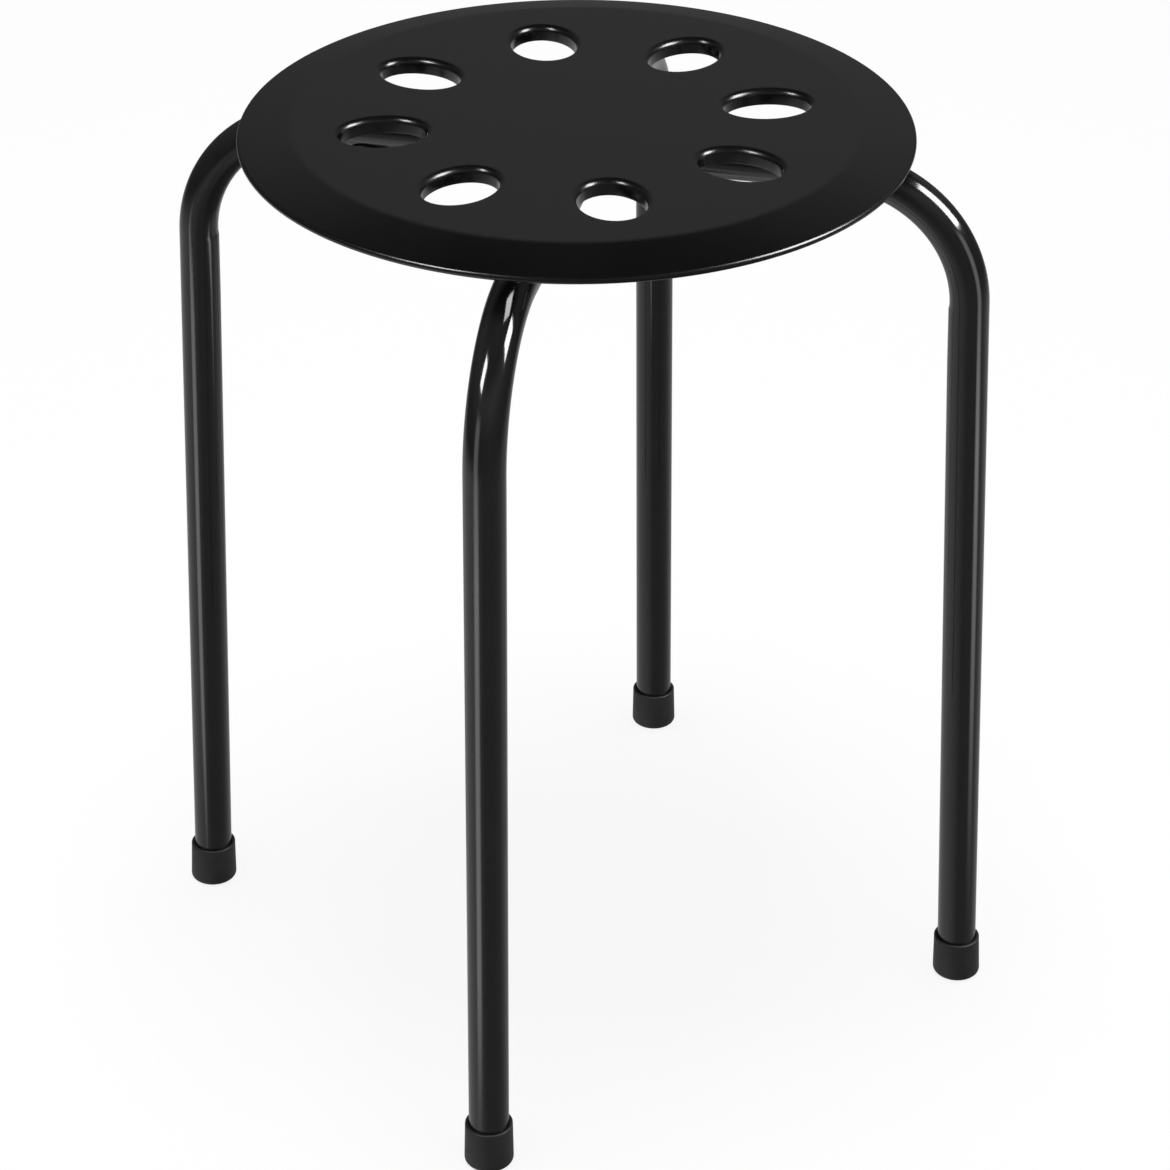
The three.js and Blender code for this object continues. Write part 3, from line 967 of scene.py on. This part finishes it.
# Pale cards in the room, each shown only in the gloss of one leg frame. Some lie along a bearing
# from a foot, just under the clear floor. The others stand across a bearing, away from a foot or
# from the middle, square to it or turned by a slant, and a slanted card shows from one side only.
# A width is in degrees to each side of the bearing: where the glow starts to fade, and where it
# ends. The fades are in metres, outwards along a lying card and upwards on a standing one.
cards = {
    "leftFootCard": {
        "tube": "upperLegFrame", "foot": "left", "bearing": -43, "glow": 2.1, "away": 0.15,
        "slant": 26.5, "width": (9, 17), "fadeIn": (-0.087, 0.04), "fadeOut": (0.27, 0.33),
    },
    "frontFootCard": {
        "tube": "lowerLegFrame", "foot": "front", "bearing": -46, "glow": 2.2,
        "width": (6, 19), "fadeIn": (0.0, 0.2), "fadeOut": (0.55, 0.8),
    },
    "rightFootCard": {
        "tube": "upperLegFrame", "foot": "right", "bearing": 61, "glow": 2.0,
        "width": (6, 19), "fadeIn": (0.03, 0.4), "fadeOut": (0.55, 0.85),
    },
    "frontTallCard": {
        "tube": "lowerLegFrame", "away": 2.0, "bearing": -41, "glow": 1.6,
        "width": (5, 14), "fadeIn": (-0.75, -0.5), "fadeOut": (0.8, 1.2),
    },
    "rightTallCard": {
        "tube": "upperLegFrame", "away": 2.0, "bearing": 59, "glow": 2.0,
        "width": (5, 13), "fadeIn": (-0.75, -0.5), "fadeOut": (0.83, 1.0),
    },
}


def toneCurve(tree, value, stops):
    ramp = addNode(tree, "ShaderNodeFloatCurve")
    curve = ramp.mapping.curves[0]
    top = max(tone for _, tone in stops)
    while len(curve.points) < len(stops):
        curve.points.new(0.5, 0.5)  # the loop below moves it to its place
    for point, (place, tone) in zip(curve.points, stops):
        point.location = (place, tone / top)
        point.handle_type = "VECTOR"
    ramp.mapping.update()
    tree.links.new(value, ramp.inputs["Value"])
    return mathNode(tree, "MULTIPLY", ramp.outputs[0], top)


def bearingCurve(tree, share, stops):
    return toneCurve(tree, share, [((angle + 180) / 360, tone) for angle, tone in stops])


def fade(tree, value, places, start, end):
    ramp = setInputs(addNode(tree, "ShaderNodeMapRange", interpolation_type="SMOOTHSTEP"), {
        "From Min": places[0],
        "From Max": places[1],
        "To Min": start,
        "To Max": end,
    })
    tree.links.new(value, ramp.inputs["Value"])
    return ramp.outputs[0]


def cardCorners(look):
    reach = math.tan(math.radians(look["width"][1]))
    low, high = look["fadeIn"][0], look["fadeOut"][1]
    if "away" in look:
        slant = math.tan(math.radians(look.get("slant", 90)))
        near, far = look["away"] / (1 + reach / slant), look["away"] / (1 - reach / slant)
        return [(near, near * reach, low), (far, -far * reach, low),
                (far, -far * reach, high), (near, near * reach, high)]
    corners = [(low, -low * reach, 0), (high, -high * reach, 0),
               (high, high * reach, 0), (low, low * reach, 0)]
    return corners if low > 0 else corners[:3]  # a card that starts at the foot is a triangle


def makeCardGlow(name, look):
    material = makeBareMaterial(name)
    material.cycles.emission_sampling = "NONE"
    tree = material.node_tree
    spot = addNode(tree, "ShaderNodeTexCoord")
    split = addNode(tree, "ShaderNodeSeparateXYZ")
    tree.links.new(spot.outputs["Object"], split.inputs[0])
    x, y, z = split.outputs
    aside = mathNode(tree, "ABSOLUTE", mathNode(tree, "ARCTAN2", y, x))
    along = z if "away" in look else x
    edges = [math.radians(width) for width in look["width"]]
    glow = mathNode(tree, "MULTIPLY", fade(tree, aside, edges, look["glow"], 0),
                    fade(tree, along, look["fadeIn"], 0, 1))
    glow = mathNode(tree, "MULTIPLY", glow, fade(tree, along, look["fadeOut"], 1, 0))
    if "slant" in look:
        behind = addNode(tree, "ShaderNodeNewGeometry").outputs["Backfacing"]
        glow = mathNode(tree, "MULTIPLY", glow, mathNode(tree, "SUBTRACT", 1.0, behind))
    clear = addNode(tree, "ShaderNodeBsdfTransparent")
    shine = addNode(tree, "ShaderNodeEmission")
    both = addNode(tree, "ShaderNodeAddShader")
    output = addNode(tree, "ShaderNodeOutputMaterial")
    joinNodes(
        tree,
        (glow, shine.inputs["Strength"]),
        (clear.outputs[0], both.inputs[0]),
        (shine.outputs[0], both.inputs[1]),
        (both.outputs[0], output.inputs["Surface"]),
    )
    return material


def makeCard(name, look):
    corners = cardCorners(look)
    data = bpy.data.meshes.new(name)
    data.from_pydata(corners, [], [range(len(corners))])
    data.materials.append(makeCardGlow(name, look))
    card = addObject(name, data)
    if "foot" in look:
        angle = quarterTurn * endTurns[look["foot"]]
        card.location = (footRadius * math.cos(angle), footRadius * math.sin(angle), 0)
    if "away" not in look:
        card.location.z = -studio["cardDepth"]
    card.rotation_euler.z = math.radians(look["bearing"] + photoView["turn"]) - quarterTurn
    for ray in ("camera", "diffuse", "transmission", "shadow"):
        setattr(card, f"visible_{ray}", False)
    card.light_linking.receiver_collection = lightGroups[look["tube"]]


def greyTone(tone):
    return (tone, tone, tone, 1)


def makeFloor():
    mesh = bmesh.new()
    sides, radius = studio["floorSides"], studio["floorRadius"]
    bmesh.ops.create_circle(mesh, cap_ends=True, segments=sides, radius=radius)
    data = bpy.data.meshes.new("floor")
    mesh.to_mesh(data)
    mesh.free()
    floor = addObject("floor", data)
    material = makeBareMaterial("paleFloor")
    tree = material.node_tree
    paths = addNode(tree, "ShaderNodeLightPath")
    plain, shaded = (
        setInputs(addNode(tree, "ShaderNodeBsdfDiffuse"), {"Color": greyTone(studio[part])})
        for part in ("floorTone", "shadowTone")
    )
    glow = setInputs(addNode(tree, "ShaderNodeEmission"), {"Strength": studio["floorGlow"]})
    seen = addNode(tree, "ShaderNodeAddShader")
    shown = addNode(tree, "ShaderNodeMixShader")
    clear = addNode(tree, "ShaderNodeBsdfTransparent")
    chosen = addNode(tree, "ShaderNodeMixShader")
    output = addNode(tree, "ShaderNodeOutputMaterial")
    joinNodes(
        tree,
        (shaded.outputs[0], seen.inputs[0]),
        (glow.outputs[0], seen.inputs[1]),
        (paths.outputs["Is Camera Ray"], shown.inputs[0]),
        (plain.outputs[0], shown.inputs[1]),
        (seen.outputs[0], shown.inputs[2]),
        (paths.outputs["Is Glossy Ray"], chosen.inputs[0]),
        (shown.outputs[0], chosen.inputs[1]),
        (clear.outputs[0], chosen.inputs[2]),
        (chosen.outputs[0], output.inputs["Surface"]),
    )
    data.materials.append(material)


def roomTone(tree, direction):
    split = addNode(tree, "ShaderNodeSeparateXYZ")
    tree.links.new(direction, split.inputs[0])
    x, y, z = split.outputs
    bearing = mathNode(tree, "ARCTAN2", x, mathNode(tree, "MULTIPLY", y, -1.0))
    bearing = mathNode(tree, "SUBTRACT", bearing, math.radians(photoView["turn"]))
    share = mathNode(tree, "ADD", mathNode(tree, "DIVIDE", bearing, fullTurn), 1.5)
    share = mathNode(tree, "FRACT", share)  # 0 at a bearing of -180, 1 at 180
    lowShare = fade(tree, z, room["lowFade"], 1, 0)
    high = mathNode(tree, "MULTIPLY", toneCurve(tree, z, room["high"]),
                    bearingCurve(tree, share, room["highAround"]))
    high = mathNode(tree, "MULTIPLY", high, mathNode(tree, "SUBTRACT", 1.0, lowShare))
    deepShare = fade(tree, z, room["deepFade"], 1, 0)
    low = mixNode(tree, deepShare, bearingCurve(tree, share, room["low"]),
                  bearingCurve(tree, share, room["deep"]))
    return mathNode(tree, "ADD", high, mathNode(tree, "MULTIPLY", low, lowShare))


def makeWorld():
    world = bpy.data.worlds.new("paleRoom")
    bpy.context.scene.world = world
    world.use_nodes = True
    tree = world.node_tree
    tree.nodes.clear()
    tone = roomTone(tree, addNode(tree, "ShaderNodeTexCoord").outputs["Generated"])
    paths = addNode(tree, "ShaderNodeLightPath")
    lit = mixNode(tree, paths.outputs["Is Glossy Ray"], studio["skyFill"], tone)
    seen = mixNode(tree, paths.outputs["Is Camera Ray"], lit, studio["backdropGlow"])
    background = addNode(tree, "ShaderNodeBackground")
    output = addNode(tree, "ShaderNodeOutputWorld")
    joinNodes(
        tree,
        (seen, background.inputs["Strength"]),
        (background.outputs[0], output.inputs["Surface"]),
    )


def makeLamp(name, look, power):
    data = bpy.data.lights.new(name, "AREA")
    data.shape = "RECTANGLE"
    data.size, data.size_y = look["size"]
    data.energy = power
    lamp = addObject(name, data)
    angle = math.radians(look["bearing"] + photoView["turn"])
    rise = math.radians(look["elevation"])
    offset = Vector((
        math.sin(angle) * math.cos(rise),
        -math.cos(angle) * math.cos(rise),
        math.sin(rise),
    ))
    lamp.location = Vector((0, 0, studio["aimHeight"])) + offset * look["away"]
    lamp.rotation_mode = "QUATERNION"
    lamp.rotation_quaternion = offset.to_track_quat("Z", "Y")
    return lamp


def makeWindow(name, look):
    across, tall = look["size"]
    window = makeLamp(name, look, look["glow"] * math.pi * across * tall)
    window.visible_diffuse = False
    if "shownBy" in look:
        window.light_linking.receiver_collection = lightGroups[look["shownBy"]]


def makeLightGroup(name, piece, linkState):
    group = bpy.data.collections.new(name)
    group.objects.link(bpy.data.objects[piece])
    group.collection_objects[0].light_linking.link_state = linkState
    return group


lightGroups = {
    "upperLegFrame": makeLightGroup("upperLegFrame", "upperLegFrame", "INCLUDE"),
    "lowerLegFrame": makeLightGroup("lowerLegFrame", "lowerLegFrame", "INCLUDE"),
    "allButLower": makeLightGroup("allButLower", "lowerLegFrame", "EXCLUDE"),
}
makeFloor()
makeWorld()
for cardName, card in cards.items():
    makeCard(cardName, card)
makeLamp("overheadSoft", overhead, overhead["power"]).visible_glossy = False
for windowName, window in windows.items():
    makeWindow(windowName, window)
bpy.context.scene.view_settings.view_transform = "Standard"
print("floor and light made")
